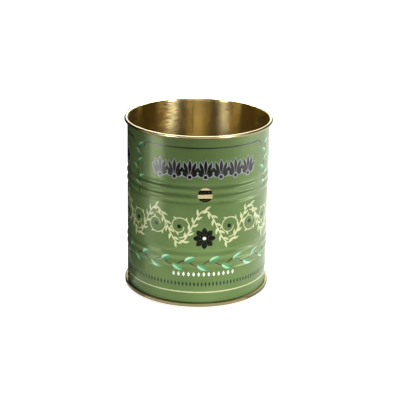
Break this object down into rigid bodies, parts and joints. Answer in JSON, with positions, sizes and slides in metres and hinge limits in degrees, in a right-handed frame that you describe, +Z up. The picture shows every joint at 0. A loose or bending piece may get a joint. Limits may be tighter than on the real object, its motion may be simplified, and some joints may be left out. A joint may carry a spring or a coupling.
{
  "type": "open-topped tin can",
  "caption": "Open-topped round printed tin with beaded walls, a rolled gold rim and a double-seamed bottom, used as a storage pot.",
  "frame": {"origin": "centre of the foot, on the tin's axis, in the plane that the tin stands on", "axes": "+Z up along the axis towards the open mouth, -Y towards the middle of the printed front, +Y towards the welded side seam at the back"},
  "size_m": [0.1036, 0.1036, 0.1222],
  "materials": {
    "printed_tinplate": "gloss",
    "gold_lacquered_tinplate": "satin",
    "lining_rubber": "matte"
  },
  "bodies": {
    "root": {"body": "printed_tinplate", "bottom_end": "gold_lacquered_tinplate", "lining_compound": "lining_rubber"}
  },
  "joints": []
}
